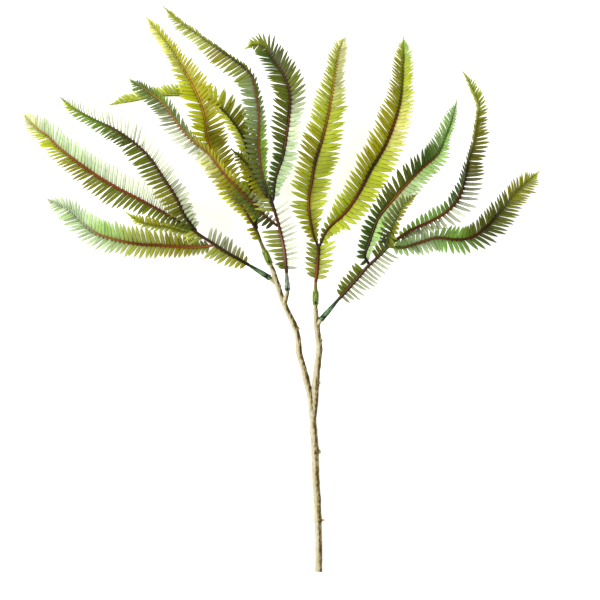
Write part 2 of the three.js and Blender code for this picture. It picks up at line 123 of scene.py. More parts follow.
TABLE_HALF = 8.0
TABLE_GLOW = 0.62
white_table = plain_material("white_table", (0.93, 0.93, 0.93), 0.9)
table_shader = white_table.node_tree.nodes["Principled BSDF"]
table_shader.inputs["Emission Color"].default_value = (1, 1, 1, 1)
table_shader.inputs["Emission Strength"].default_value = TABLE_GLOW
table_mesh = bpy.data.meshes.new("table")
table_corners = [(-1, -1), (1, -1), (1, 1), (-1, 1)]
table_mesh.from_pydata([(x * TABLE_HALF, y * TABLE_HALF, 0) for x, y in table_corners], [], [(0, 1, 2, 3)])
table_mesh.materials.append(white_table)
table = bpy.data.objects.new("table", table_mesh)
bpy.context.scene.collection.objects.link(table)


# The stem. A forked moulding of tan plastic over a wire, with the rings, nubs and long furrows of a
# twig's bark. Its right branch leaves the trunk at the crotch, and five pegs carry the sleeves.
class Path:
    """A smooth line through points in millimetres, measured along its length."""

    STEPS = 50

    def __init__(self, points):
        knots = np.array(points, dtype=float)
        before = 2 * knots[0] - knots[1]
        after = 2 * knots[-1] - knots[-2]
        outer = np.vstack([before, knots, after])
        line = []
        for i in range(len(knots) - 1):
            p0, p1, p2, p3 = outer[i : i + 4]
            d0 = np.linalg.norm(p1 - p0) ** 0.5
            d1 = np.linalg.norm(p2 - p1) ** 0.5
            d2 = np.linalg.norm(p3 - p2) ** 0.5
            m1 = ((p1 - p0) / d0 - (p2 - p0) / (d0 + d1) + (p2 - p1) / d1) * d1
            m2 = ((p2 - p1) / d1 - (p3 - p1) / (d1 + d2) + (p3 - p2) / d2) * d1
            w = np.linspace(0, 1, self.STEPS, endpoint=False)[:, None]
            square = 3 * (p2 - p1) - 2 * m1 - m2
            cube = 2 * (p1 - p2) + m1 + m2
            line.append(p1 + m1 * w + square * w**2 + cube * w**3)
        self.line = np.vstack([*line, knots[-1:]])
        steps = np.linalg.norm(np.diff(self.line, axis=0), axis=1)
        self.run = np.concatenate([[0], np.cumsum(steps)])
        self.length = self.run[-1]
        self.heading = np.gradient(self.line, self.run, axis=0)
        self.heading /= np.linalg.norm(self.heading, axis=1)[:, None]

    def axes(self, along):
        """Centre, heading, right-hand side and upper side at a distance along the path."""
        near = min(max(along, 0), self.length)
        heading = np.array([np.interp(near, self.run, self.heading[:, k]) for k in range(3)])
        heading /= np.linalg.norm(heading)
        centre = np.array([np.interp(near, self.run, self.line[:, k]) for k in range(3)])
        centre = centre + heading * (along - near)
        right = np.cross(heading, (0, 0, 1))
        right /= np.linalg.norm(right)
        return centre, heading, right, np.cross(right, heading)


def spread(values, t):
    """The value at t, from 0 to 1, of a list of values spread evenly along a piece."""
    values = np.asarray(values, dtype=float)
    place = min(max(t, 0), 1) * (len(values) - 1)
    i = min(int(place), len(values) - 2)
    w = place - i
    return values[i] + (values[i + 1] - values[i]) * w * w * (3 - 2 * w)


def mesh_object(name, points, faces, material):
    mesh = bpy.data.meshes.new(name)
    mesh.from_pydata([tuple(p) for p in points], [], faces)
    mesh.materials.append(material)
    piece = bpy.data.objects.new(name, mesh)
    bpy.context.scene.collection.objects.link(piece)
    return piece


def in_place(points):
    """Millimetres as drawn, turned into metres in the part's own frame."""
    return (np.asarray(points, dtype=float) - ORIGIN) * MM


SLEEVES = {
    "a": dict(mouth=(-15.5, 14.5, 29.5), neck=(-42, 31, 35)),
    "b": dict(mouth=(-13, 32, 34), neck=(-26, 62, 44)),
    "c": dict(mouth=(10, -2, 35), neck=(9, 21, 58)),
    "d": dict(mouth=(48, -22, 27), neck=(48, 8, 45)),
    "e": dict(mouth=(57, -40.5, 23.5), neck=(79, -15, 30)),
}
PEG_RADIUS = 2.7
PEG_DEPTH = 9.0
BAR_SIDES = 24
BAR_STEP = 1.6
STEM_VOXEL = 0.62


def sleeve_line(letter):
    """A sleeve's mouth, the way from there to its neck, and how long that is."""
    mouth = np.array(SLEEVES[letter]["mouth"], dtype=float)
    axis = np.array(SLEEVES[letter]["neck"]) - mouth
    length = np.linalg.norm(axis)
    return mouth, axis / length, length


def on_sleeve(letter, distance):
    mouth, axis, _ = sleeve_line(letter)
    return mouth + axis * distance


def peg(letter, before):
    """A peg's two ends: on the stem, before the sleeve's mouth, and inside the sleeve."""
    return [on_sleeve(letter, -before), on_sleeve(letter, PEG_DEPTH)]


def bar(points, faces, path, radii, rings=()):
    """Adds a closed round bar along a path. A ring is (along, how far it stands out, half its length)."""
    line = Path(path)
    count = max(4, round(line.length / BAR_STEP))
    start = len(points)
    side = np.array([1.0, 0.0, 0.0])
    for i in range(count + 1):
        along = line.length * i / count
        centre, heading, _, _ = line.axes(along)
        up = np.cross(side, heading)
        up /= np.linalg.norm(up)
        side = np.cross(heading, up)
        radius = spread(radii, i / count)
        radius += sum(stands * math.exp(-(((along - at) / half) ** 2)) for at, stands, half in rings)
        for k in range(BAR_SIDES):
            turn = 2 * math.pi * k / BAR_SIDES
            points.append(centre + side * radius * math.cos(turn) - up * radius * math.sin(turn))
    for i in range(count):
        for k in range(BAR_SIDES):
            a = start + i * BAR_SIDES + k
            b = start + i * BAR_SIDES + (k + 1) % BAR_SIDES
            faces.append((a, b, b + BAR_SIDES, a + BAR_SIDES))
    faces.append(tuple(reversed(range(start, start + BAR_SIDES))))
    faces.append(tuple(range(start + count * BAR_SIDES, start + (count + 1) * BAR_SIDES)))


TRUNK_AND_LEFT_BRANCH = [
    (52, -383, 4.2), (52, -341, 4.2), (51, -313, 4.2), (50, -286, 4.3), (48, -256, 4.6),
    (47, -219, 5.2), (45, -192, 5.6), (43, -165, 6), (41, -148, 6.5), (36, -127, 8),
    (31, -106, 10), (26, -88, 12.5), (24, -67, 15), (19, -50, 17.5), (10, -31, 21),
    (2, -12, 24.5), (-4, 7, 28), (-9, 22, 31.2),
]
RIGHT_BRANCH = [
    (45, -174, 6), (47, -154, 6.5), (48, -132, 8), (51, -102, 11), (53, -81, 13.5),
    (51, -62, 16), (49, -45, 19.5), (48, -33, 22.4),
]
stem_points = []
stem_faces = []
bar(
    stem_points, stem_faces, TRUNK_AND_LEFT_BRANCH,
    radii=[4.9, 4.9, 4.9, 5, 5.2, 5.1, 4.5, 4.4, 4.2, 4, 3.8, 3.5],
    rings=[
        (2, 0.25, 1.5), (69, 0.8, 1.6), (72, 0.5, 5), (98, 0.45, 5), (121, 0.5, 2.4), (140, 0.35, 5),
        (165, 0.7, 4), (190, 0.5, 3), (213, 0.4, 4), (262, 0.6, 4), (300, 0.3, 6), (338, 0.6, 4),
        (394, 0.5, 3),
    ],
)
bar(
    stem_points, stem_faces, RIGHT_BRANCH,
    radii=[4.2, 4.5, 4.4, 4.3, 4.2, 3.9, 3.6],
    rings=[(44, 0.7, 4), (70, 0.3, 5), (92, 0.7, 3.5), (108, 0.4, 3), (124, 0.4, 4)],
)
bar(stem_points, stem_faces, [(-3, 4, 27), *peg("a", 1.5)], radii=[3, 3, PEG_RADIUS, PEG_RADIUS])
bar(stem_points, stem_faces, peg("b", 14), radii=[3.4, PEG_RADIUS, PEG_RADIUS])
bar(
    stem_points, stem_faces, [(6, -20, 23.5), (9.6, -8, 29.5), *peg("c", 1)],
    radii=[3.6, 2.9, PEG_RADIUS, PEG_RADIUS],
)
bar(stem_points, stem_faces, peg("d", 14), radii=[3.6, PEG_RADIUS, PEG_RADIUS])
bar(stem_points, stem_faces, [(49, -52, 18), *peg("e", 1)], radii=[3.2, PEG_RADIUS, PEG_RADIUS])

# Nubs of cut twigs, each from its base in the stem to its end, with the radius at both.
for base, end, radii in [
    ((52, -313, 5), (60.6, -313, 6), (2.6, 0.8)),
    ((46, -220, 5.8), (55.2, -221, 6.5), (6.6, 1.9)),
    ((20, -52, 17.5), (26.6, -55, 19), (3.6, 1.4)),
    ((48, -130, 9), (54.4, -127, 11), (3.4, 1.3)),
    ((52, -74, 14.5), (57.2, -70, 16), (3.2, 1.4)),
]:
    bar(stem_points, stem_faces, [base, end], radii=radii)


def add_node(tree, kind, inputs=None, **settings):
    """A new node in a tree. Each input is set to a value, or joined where an output is given."""
    node = tree.nodes.new(kind)
    for name, value in settings.items():
        setattr(node, name, value)
    for socket, value in (inputs or {}).items():
        if isinstance(value, bpy.types.NodeSocket):
            tree.links.new(value, node.inputs[socket])
        else:
            node.inputs[socket].default_value = value
    return node


def ramp(tree, value, stops):
    """The colour of a ramp at a value. A stop is its place and its red, green and blue."""
    node = add_node(tree, "ShaderNodeValToRGB", {"Fac": value})
    elements = node.color_ramp.elements
    while len(elements) < len(stops):
        elements.new(0.5)
    for element, (at, colour) in zip(elements, stops):
        element.position = at
        element.color = (*colour, 1)
    return node.outputs["Color"]


def coat(tree, specular, colour, normal=None):
    """Joins a colour, and a bumped normal if there is one, to a material's shader."""
    shader = tree.nodes["Principled BSDF"]
    shader.inputs["Specular IOR Level"].default_value = specular
    tree.links.new(colour, shader.inputs["Base Color"])
    if normal is not None:
        tree.links.new(normal, shader.inputs["Normal"])


def bark_material():
    """Tan plastic with cream worn ridges, brown paint in the furrows, and painted shade on one side."""
    material = plain_material("moulded_bark", paint(200, 180, 120), 0.55)
    tree = material.node_tree
    place = add_node(tree, "ShaderNodeTexCoord")
    stretch = add_node(
        tree, "ShaderNodeMapping", {"Vector": place.outputs["Object"], "Scale": (800, 240, 800)},
    )
    grain = add_node(
        tree, "ShaderNodeTexNoise",
        {"Vector": stretch.outputs["Vector"], "Scale": 1.0, "Detail": 5.0, "Roughness": 0.6},
    )
    # This attribute holds the furrows' brown paint and the painted shade of the right-hand side.
    wash_and_painted_shade = add_node(tree, "ShaderNodeAttribute", attribute_name="wash_and_painted_shade")
    paleness = add_node(
        tree, "ShaderNodeMath", {0: grain.outputs["Fac"], 1: 0.9, 2: wash_and_painted_shade.outputs["Fac"]},
        operation="MULTIPLY_ADD",
    )
    tans = [
        (0.1, (94, 70, 26)), (0.35, (138, 112, 50)), (0.6, (198, 182, 122)), (0.8, (228, 216, 176)),
        (1.0, (242, 234, 208)),
    ]
    colour = ramp(tree, paleness.outputs["Value"], [(at, paint(*tan)) for at, tan in tans])
    bump = add_node(
        tree, "ShaderNodeBump", {"Height": grain.outputs["Fac"], "Strength": 0.7, "Distance": 0.0005},
    )
    coat(tree, 0.25, colour, bump.outputs["Normal"])
    return material


# The bars are fused into one skin, and the bark's furrows and knobs are pressed into it. The attribute
# made here is how pale the bark is: brown paint stays in the furrows, and the right-hand side is
# darkened as painted shade.
FURROW = 0.28
KNOB = 0.22
LONG_GRAIN = (0.75, 0.055, 0.75)
FINE_GRAIN = (1.7, 0.16, 1.7)
KNOB_GRAIN = (0.3, 0.22, 0.3)
# Painted shade on the bark's right-hand side, away from the key light: where it starts and fades in, by the
# normal's sideways part, how much it darkens, and how much it deepens the furrows there.
SHADED_FLANK_START = -0.25
SHADED_FLANK_WIDTH = 0.8
BARK_PALENESS = 0.41
FLANK_PAINTED_SHADE = 0.6
FURROW_WASH = 0.7
FLANK_FURROW_PAINTED_SHADE = 1.6
stem = mesh_object("moulded_stem", in_place(stem_points), stem_faces, bark_material())
remesh = stem.modifiers.new("fuse", "REMESH")
remesh.mode = "VOXEL"
remesh.voxel_size = STEM_VOXEL * MM
relax = stem.modifiers.new("relax", "SMOOTH")
relax.iterations = 3
relax.factor = 0.5
fused = bpy.data.meshes.new_from_object(stem.evaluated_get(bpy.context.evaluated_depsgraph_get()))
stem.modifiers.clear()
stem.data = fused
count = len(fused.vertices)
place = np.empty(count * 3)
fused.vertices.foreach_get("co", place)
place = place.reshape(-1, 3)
normal = np.empty(count * 3)
fused.vertices.foreach_get("normal", normal)
normal = normal.reshape(-1, 3)
furrow = np.empty(count)
for i, spot in enumerate(place / MM):
    grain = noise.noise(tuple(spot * LONG_GRAIN)) + 0.5 * noise.noise(tuple(spot * FINE_GRAIN))
    furrow[i] = FURROW * grain + KNOB * noise.noise(tuple(spot * KNOB_GRAIN))
place += normal * (furrow * MM)[:, None]
place[:, 2] = np.maximum(place[:, 2], 0)
fused.vertices.foreach_set("co", place.reshape(-1))
# Painted shade: the paleness drops on the right-hand side, and the furrows' brown deepens there.
painted_light_flank = np.clip((normal[:, 0] - SHADED_FLANK_START) / SHADED_FLANK_WIDTH, 0, 1)
wash_and_painted_shade = BARK_PALENESS + furrow * (FURROW_WASH + FLANK_FURROW_PAINTED_SHADE * painted_light_flank) - FLANK_PAINTED_SHADE * painted_light_flank
fused.attributes.new("wash_and_painted_shade", "FLOAT", "POINT").data.foreach_set("value", wash_and_painted_shade)
fused.shade_smooth()
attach(stem, "root")
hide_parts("stem")


# The sleeves. Five glossy plastic cups, each with a twig growing out of its neck. A cup slips over its
# peg, and its wall has a small nail hole. Three are long cones, two are lumpy collars.
SLEEVE_SIDES = 40
SLEEVE_BORE = 2.95
SLEEVE_CUP = 11.0
NAIL_HOLE_RADIUS = 1.1
NAIL_HOLE_PLACE = 5.0
NAIL_HOLE_DRILL = 6.0
NAIL_HOLE_RAISE = 2.0
SLEEVE_SKIN = 3.75
SHARP_RIM = math.radians(50)
NEAR_AXIS = 0.05

# Outlines to be turned round the sleeve's axis: (radius, place along it), from inside to outside.
CUP_FLOOR = [
    (NEAR_AXIS, SLEEVE_CUP), (SLEEVE_BORE - 0.6, SLEEVE_CUP - 0.4), (SLEEVE_BORE, SLEEVE_CUP - 1.5),
]
CUP_LIP = [(SLEEVE_BORE, 0.6), (SLEEVE_BORE + 0.3, 0.1)]
CONE = [
    (3.5, 0.0), (4.0, 0.4), (4.3, 1.2), (4.0, 2.4), (3.75, 3.6), (3.8, 7.0),
    (3.6, 11.0), (3.0, 18.0), (2.4, 25.0), (2.0, 30.6), (1.8, 31.0),
]
COLLAR = [
    (3.6, 0.0), (4.1, 0.4), (4.3, 1.4), (4.1, 3.0), (4.45, 5.0), (4.3, 8.0), (4.5, 11.5), (4.2, 14.5),
    (4.3, 16.5), (3.6, 18.0), (2.7, 19.4), (2.5, 22.0), (2.35, 26.0), (2.1, 30.6), (1.9, 31.0),
]


def sleeve_piece(letter, profile, start, material):
    """A turned cup. Start is how far its rim reaches past the peg's mouth, onto the stem."""
    mouth, axis, length = sleeve_line(letter)
    side = np.cross(axis, (0, 0, 1))
    side /= np.linalg.norm(side)
    up = np.cross(side, axis)
    outline = CUP_FLOOR + [(r, y - start) for r, y in CUP_LIP]
    outline += [(r, y / profile[-1][1] * (length + start) - start) for r, y in profile]
    outline.append((NEAR_AXIS, length))
    points = []
    faces = []
    for r, y in outline:
        for k in range(SLEEVE_SIDES):
            turn = 2 * math.pi * k / SLEEVE_SIDES
            points.append(mouth + axis * y + (side * math.cos(turn) + up * math.sin(turn)) * r)
    for i in range(len(outline) - 1):
        for k in range(SLEEVE_SIDES):
            a = i * SLEEVE_SIDES + k
            b = i * SLEEVE_SIDES + (k + 1) % SLEEVE_SIDES
            faces.append((a, b, b + SLEEVE_SIDES, a + SLEEVE_SIDES))
    faces.append(tuple(reversed(range(SLEEVE_SIDES))))
    faces.append(tuple(range((len(outline) - 1) * SLEEVE_SIDES, len(outline) * SLEEVE_SIDES)))
    piece = mesh_object(f"moulded_sleeve_{letter}", in_place(points), faces, material)
    shape = bmesh.new()
    shape.from_mesh(piece.data)
    bmesh.ops.recalc_face_normals(shape, faces=shape.faces)
    shape.to_mesh(piece.data)
    shape.free()

    hole = on_sleeve(letter, NAIL_HOLE_PLACE) + np.array([0, 0, SLEEVE_BORE + NAIL_HOLE_RAISE])
    drill_shape = bmesh.new()
    bmesh.ops.create_cone(
        drill_shape, cap_ends=True, segments=20, depth=NAIL_HOLE_DRILL * MM,
        radius1=NAIL_HOLE_RADIUS * MM, radius2=NAIL_HOLE_RADIUS * MM,
        matrix=Matrix.Translation(in_place([hole])[0]),
    )
    drill_mesh = bpy.data.meshes.new("drill")
    drill_shape.to_mesh(drill_mesh)
    drill_shape.free()
    drill = bpy.data.objects.new("drill", drill_mesh)
    bpy.context.scene.collection.objects.link(drill)
    cut = piece.modifiers.new("nail_hole", "BOOLEAN")
    cut.object = drill
    drilled = bpy.data.meshes.new_from_object(piece.evaluated_get(bpy.context.evaluated_depsgraph_get()))
    piece.modifiers.clear()
    piece.data = drilled
    bpy.data.objects.remove(drill)

    skin = np.empty(len(drilled.vertices) * 3)
    drilled.vertices.foreach_get("co", skin)
    skin = skin.reshape(-1, 3) / MM + ORIGIN - mouth
    skin = np.column_stack([skin @ side, skin @ up, skin @ axis])
    drilled.attributes.new("skin", "FLOAT_VECTOR", "POINT").data.foreach_set("vector", skin.reshape(-1))
    drilled.shade_smooth()
    drilled.set_sharp_from_angle(angle=SHARP_RIM)
    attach(piece, "root")
    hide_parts(f"sleeve_{letter}")
    return piece


# The sockets of a Mix node that hold colours, which share their names with others.
MIX_A = 6
MIX_B = 7
MIX_RESULT = 2


def blend(tree, kind, factor, a, b):
    """Colour a, with b mixed in or multiplied by as much as the factor says."""
    inputs = {"Factor": factor, MIX_A: a, MIX_B: b}
    mix = add_node(tree, "ShaderNodeMix", inputs, data_type="RGBA", blend_type=kind)
    return mix.outputs[MIX_RESULT]


def map_range(tree, value, start, end, low=0.0, high=1.0):
    """Low where the value is start, high where it is end, and evenly between them."""
    inputs = {"Value": value, "From Min": start, "From Max": end, "To Min": low, "To Max": high}
    return add_node(tree, "ShaderNodeMapRange", inputs).outputs["Result"]


# Where the tints change, in millimetres: from the rim, towards the neck, and round the nail hole, where
# shade is painted.
RIM_PALE = 4.0
NECK_TINT = (18.0, 28.0)
HOLE_SHADE_RING = (1.3, 2.6)


def sleeve_material(name, dark, light, neck):
    """Glossy plastic in streaks of two tints, the pale streaks being painted reflections, paler at the
    rim, and a third tint where it turns to twig. Painted shade makes a dark ring round the nail hole."""
    material = plain_material(name, paint(*dark), 0.2)
    tree = material.node_tree
    skin = add_node(tree, "ShaderNodeAttribute", attribute_name="skin").outputs["Vector"]
    # Streaks along the cup: the pale ones are painted reflections of the lamps on the glossy plastic.
    stretch = add_node(tree, "ShaderNodeMapping", {"Vector": skin, "Scale": (0.5, 0.5, 0.09)})
    streaks = add_node(
        tree, "ShaderNodeTexNoise", {"Vector": stretch.outputs["Vector"], "Scale": 1.0, "Detail": 3.0},
    )
    along = add_node(tree, "ShaderNodeSeparateXYZ", {"Vector": skin}).outputs["Z"]
    rim = map_range(tree, along, RIM_PALE, 0.0, high=0.1)
    total = add_node(tree, "ShaderNodeMath", {0: streaks.outputs["Fac"], 1: rim})
    colour = ramp(tree, total.outputs["Value"], [(0.5, paint(*dark)), (0.6, paint(*light))])
    colour = blend(tree, "MIX", map_range(tree, along, *NECK_TINT), colour, (*paint(*neck), 1))
    # Painted shade: a dark ring round the nail hole, darkest next to it.
    from_hole = add_node(
        tree, "ShaderNodeVectorMath", {0: skin, 1: (0, SLEEVE_SKIN, NAIL_HOLE_PLACE)},
        operation="DISTANCE",
    )
    hole_shade = map_range(tree, from_hole.outputs["Value"], *HOLE_SHADE_RING, low=0.12)
    coat(tree, 0.3, blend(tree, "MULTIPLY", 1.0, colour, hole_shade))
    return material


dark_green = sleeve_material("dark_green_sleeve", (20, 50, 20), (130, 172, 120), (52, 72, 36))
grey_green = sleeve_material("grey_green_sleeve", (70, 92, 66), (196, 210, 186), (140, 150, 130))
yellow_green = sleeve_material("lime_sleeve", (112, 140, 32), (196, 214, 100), (140, 125, 70))
for letter, slot, profile, start, finish in [
    ("a", "sleeve_green", CONE, 2.4, dark_green),
    ("b", "sleeve_lime", COLLAR, 0.0, yellow_green),
    ("c", "sleeve_green", CONE, 0.0, grey_green),
    ("d", "sleeve_lime", COLLAR, 0.0, yellow_green),
    ("e", "sleeve_green", CONE, 3.4, dark_green),
]:
    sleeve_piece(letter, profile, start, finish)


# The leaflets' mould. Every frond is moulded in one thin plate: a round rib, and two rows of narrow
# leaflets that stand on it root to root, each crowned across, pointed, and swept towards the tip.
LEAFLET_THICKNESS = 0.45
LEAFLET_STATIONS = [0.0, 0.12, 0.32, 0.55, 0.77, 0.92]
LEAFLET_WIDTHS = [0.56, 0.54, 0.5, 0.48, 0.34, 0.15]
CROWN_AT_ENDS = 0.35


def leaflet_mould(name, side, arch, crown, bend):
    """One leaflet a millimetre long and a millimetre wide, to be drawn out to size: x runs to its tip."""
    points = []
    faces = []
    marks = []
    for v, half in zip(LEAFLET_STATIONS, LEAFLET_WIDTHS):
        shift = side * bend * v * v
        rise = arch * 4 * v * (1 - v)
        for u in (-1, -0.5, 0, 0.5, 1):
            swell = CROWN_AT_ENDS + (1 - CROWN_AT_ENDS) * math.sin(math.pi * min(1, v + 0.1))
            top = rise + crown * (1 - u * u) * swell
            points.append((v, u * half + shift, top + LEAFLET_THICKNESS / 2))
            marks.append((0.5 + u / 2, v))
        for u in (-1, 0, 1):
            points.append((v, u * half + shift, rise - LEAFLET_THICKNESS / 2))
            marks.append((0.5 + u / 2, v))
    tip = len(points)
    points.append((1.0, side * bend, 0.0))
    marks.append((0.5, 1.0))
    row = 8
    for i in range(len(LEAFLET_STATIONS) - 1):
        a = i * row
        b = a + row
        for k in range(4):
            faces.append((a + k, b + k, b + k + 1, a + k + 1))
        for k in (5, 6):
            faces.append((a + k, a + k + 1, b + k + 1, b + k))
        faces.append((a, a + 5, b + 5, b))
        faces.append((a + 4, b + 4, b + 7, a + 7))
    last = (len(LEAFLET_STATIONS) - 1) * row
    for k in range(4):
        faces.append((last + k, tip, last + k + 1))
    for k in (5, 6):
        faces.append((last + k, last + k + 1, tip))
    faces.append((last, last + 5, tip))
    faces.append((last + 7, last + 4, tip))
    faces.append((0, 1, 2, 3, 4, 7, 6, 5))
    mesh = bpy.data.meshes.new(name)
    mesh.from_pydata(points, [], faces)
    layer = mesh.uv_layers.new(name="UVMap")
    for loop in mesh.loops:
        layer.data[loop.index].uv = marks[loop.vertex_index]
    mesh.shade_smooth()
    return bpy.data.objects.new(name, mesh)


moulds = bpy.data.collections.new("leaflet_moulds")
for name, side, arch, crown, bend in [
    ("mould_0_left_flat", -1, 0.5, 0.35, 0.12),
    ("mould_1_left_arched", -1, 1.3, 0.5, 0.16),
    ("mould_2_right_flat", 1, 0.5, 0.35, 0.12),
    ("mould_3_right_arched", 1, 1.3, 0.5, 0.16),
    ("mould_4_tip", 1, 0.6, 0.4, 0.0),
]:
    moulds.objects.link(leaflet_mould(name, side, arch, crown, bend))
TIP_MOULD = 4

# The leaflets' side veins: how closely they lie, and how far they lean towards the leaflet's point.
VEINS = 90.0
VEIN_SLANT = 0.22


def leaf_plastic():
    """Satin plastic tinted leaflet by leaflet: paler points, fine side veins, and the rib's stain at
    the root. Painted shade darkens the leaflets' roots and edges, and the rib has a painted highlight
    on its left side and painted shade on its right one."""
    material = plain_material("moulded_leaf", paint(110, 125, 20), 0.5)
    tree = material.node_tree

    def grey(value, *stops):
        return ramp(tree, value, [(at, (level, level, level)) for at, level in stops])

    def worked_out(operation, *values):
        node = add_node(tree, "ShaderNodeMath", dict(enumerate(values)), operation=operation)
        return node.outputs["Value"]

    marks = add_node(tree, "ShaderNodeUVMap", uv_map="UVMap")
    split = add_node(tree, "ShaderNodeSeparateXYZ", {"Vector": marks.outputs["UV"]})
    across = split.outputs["X"]
    out = split.outputs["Y"]
    tint = add_node(tree, "ShaderNodeAttribute", attribute_name="tint").outputs["Color"]
    surface = add_node(tree, "ShaderNodeNewGeometry")
    facing = add_node(tree, "ShaderNodeSeparateXYZ", {"Vector": surface.outputs["Normal"]})
    # Painted highlight and shade on the rib: paler where it faces left towards the key light, darker where
    # it faces right.
    painted_light_flank = map_range(tree, facing.outputs["X"], -0.8, 0.7, low=1.6, high=0.35)
    rib_tint = add_node(tree, "ShaderNodeAttribute", attribute_name="rib_tint").outputs["Color"]
    rib_tint = blend(tree, "MULTIPLY", 1.0, rib_tint, painted_light_flank)
    place = add_node(tree, "ShaderNodeTexCoord")
    mottle = add_node(
        tree, "ShaderNodeTexNoise", {"Vector": place.outputs["Object"], "Scale": 260.0, "Detail": 3.0},
    )
    body = blend(tree, "MULTIPLY", 1.0, tint, grey(mottle.outputs["Fac"], (0.3, 0.8), (0.7, 1.0)))
    point = blend(tree, "MULTIPLY", 1.0, body, (1.35, 1.3, 1.4, 1))
    body = blend(tree, "MIX", grey(out, (0.5, 0.0), (0.95, 1.0)), body, point)
    # Painted shade: the leaflets darken towards their roots, where they crowd together on the rib.
    body = blend(tree, "MULTIPLY", 1.0, body, grey(out, (0.0, 0.7), (0.12, 0.82), (0.35, 1.0)))
    midrib = grey(across, (0.42, 0.0), (0.5, 0.3), (0.58, 0.0))
    body = blend(tree, "MIX", midrib, body, rib_tint)
    # Painted shade along the leaflets' edges, where neighbours meet.
    painted_edge_shade = grey(across, (0.0, 0.35), (0.2, 1.0), (0.8, 1.0), (1.0, 0.35))
    body = blend(tree, "MULTIPLY", grey(out, (0.0, 0.0), (0.06, 1.0)), body, painted_edge_shade)
    body = blend(tree, "MIX", grey(out, (0.04, 0.0), (0.13, 1.0)), rib_tint, body)

    from_midrib = worked_out("PINGPONG", across, 0.5)
    slant = worked_out("MULTIPLY_ADD", from_midrib, VEIN_SLANT, out)
    veins = worked_out("SINE", worked_out("MULTIPLY", slant, VEINS))
    bump = add_node(tree, "ShaderNodeBump", {"Height": veins, "Strength": 0.35, "Distance": 0.00012})
    coat(tree, 0.24, body, bump.outputs["Normal"])
    return material


leaf_finish = leaf_plastic()


def leafing_tree():
    """Geometry nodes that put a leaflet on each loose point, and a round rib along the line."""
    tree = bpy.data.node_groups.new("leaflets_along_a_rib", "GeometryNodeTree")
    interface = tree.interface
    interface.new_socket("Geometry", in_out="INPUT", socket_type="NodeSocketGeometry")
    interface.new_socket("Moulds", in_out="INPUT", socket_type="NodeSocketCollection")
    interface.new_socket("Finish", in_out="INPUT", socket_type="NodeSocketMaterial")
    interface.new_socket("Rib Sides", in_out="INPUT", socket_type="NodeSocketInt").default_value = 10
    interface.new_socket("Unevenness", in_out="INPUT", socket_type="NodeSocketFloat").default_value = 0.035
    interface.new_socket("Seed", in_out="INPUT", socket_type="NodeSocketInt").default_value = 1
    interface.new_socket("Geometry", in_out="OUTPUT", socket_type="NodeSocketGeometry")
    given = add_node(tree, "NodeGroupInput").outputs

    def named(kind, name):
        node = add_node(tree, "GeometryNodeInputNamedAttribute", {"Name": name}, data_type=kind)
        return node.outputs["Attribute"]

    split = add_node(
        tree, "GeometryNodeSeparateGeometry",
        {"Geometry": given["Geometry"], "Selection": named("BOOLEAN", "is_leaflet")},
    )
    mould_set = add_node(
        tree, "GeometryNodeCollectionInfo",
        {"Collection": given["Moulds"], "Separate Children": True, "Reset Children": True},
    )
    aim = add_node(
        tree, "FunctionNodeAxesToRotation",
        {"Primary Axis": named("FLOAT_VECTOR", "out"), "Secondary Axis": named("FLOAT_VECTOR", "face")},
        primary_axis="X", secondary_axis="Z",
    )
    stand = add_node(
        tree, "GeometryNodeInstanceOnPoints",
        {
            "Points": split.outputs["Selection"],
            "Instance": mould_set.outputs["Instances"],
            "Pick Instance": True,
            "Instance Index": named("INT", "mould"),
            "Rotation": aim.outputs["Rotation"],
            "Scale": named("FLOAT_VECTOR", "size"),
        },
    )
    low = add_node(tree, "ShaderNodeMath", {0: given["Unevenness"], 1: -1.0}, operation="MULTIPLY")
    wobble = add_node(
        tree, "FunctionNodeRandomValue",
        {"Min": low.outputs["Value"], "Max": given["Unevenness"], "Seed": given["Seed"]},
        data_type="FLOAT_VECTOR",
    )
    as_turn = add_node(tree, "FunctionNodeEulerToRotation", {"Euler": wobble.outputs["Value"]})
    turned = add_node(
        tree, "GeometryNodeRotateInstances",
        {"Instances": stand.outputs["Instances"], "Rotation": as_turn.outputs["Rotation"]},
    )

    line = add_node(tree, "GeometryNodeMeshToCurve", {"Mesh": split.outputs["Inverted"]})
    section = add_node(
        tree, "GeometryNodeCurvePrimitiveCircle", {"Radius": 1.0, "Resolution": given["Rib Sides"]},
    )
    rib = add_node(
        tree, "GeometryNodeCurveToMesh",
        {
            "Curve": line.outputs["Curve"],
            "Profile Curve": section.outputs["Curve"],
            "Scale": named("FLOAT", "half"),
            "Fill Caps": True,
        },
    )
    join = add_node(tree, "GeometryNodeJoinGeometry", {"Geometry": turned.outputs["Instances"]})
    tree.links.new(rib.outputs["Mesh"], join.inputs["Geometry"])
    realize = add_node(tree, "GeometryNodeRealizeInstances", {"Geometry": join.outputs["Geometry"]})
    finish = add_node(
        tree, "GeometryNodeSetMaterial",
        {"Geometry": realize.outputs["Geometry"], "Material": given["Finish"]},
    )
    add_node(tree, "NodeGroupOutput", {"Geometry": finish.outputs["Geometry"]})
    return tree


leafing = leafing_tree()

# Along a frond, from bottom to tip: the room each leaflet has on the rib, and its angle to the rib.
PITCH = [6.0, 6.4, 6.2, 5.4, 4.4, 3.2]
SWEEP = [86, 82, 76, 70, 62, 48]
TWIG_PITCH = 6.1
STALK = 4.0

# How much of that room it fills, left and right, and how far the blade rises from the rib, in degrees.
FILL = (0.9, 0.95)
RISE = 24.0
BLADE = 0.8
LEAFLET_ROOT = 0.4
LEAST_NARROWING = 0.66

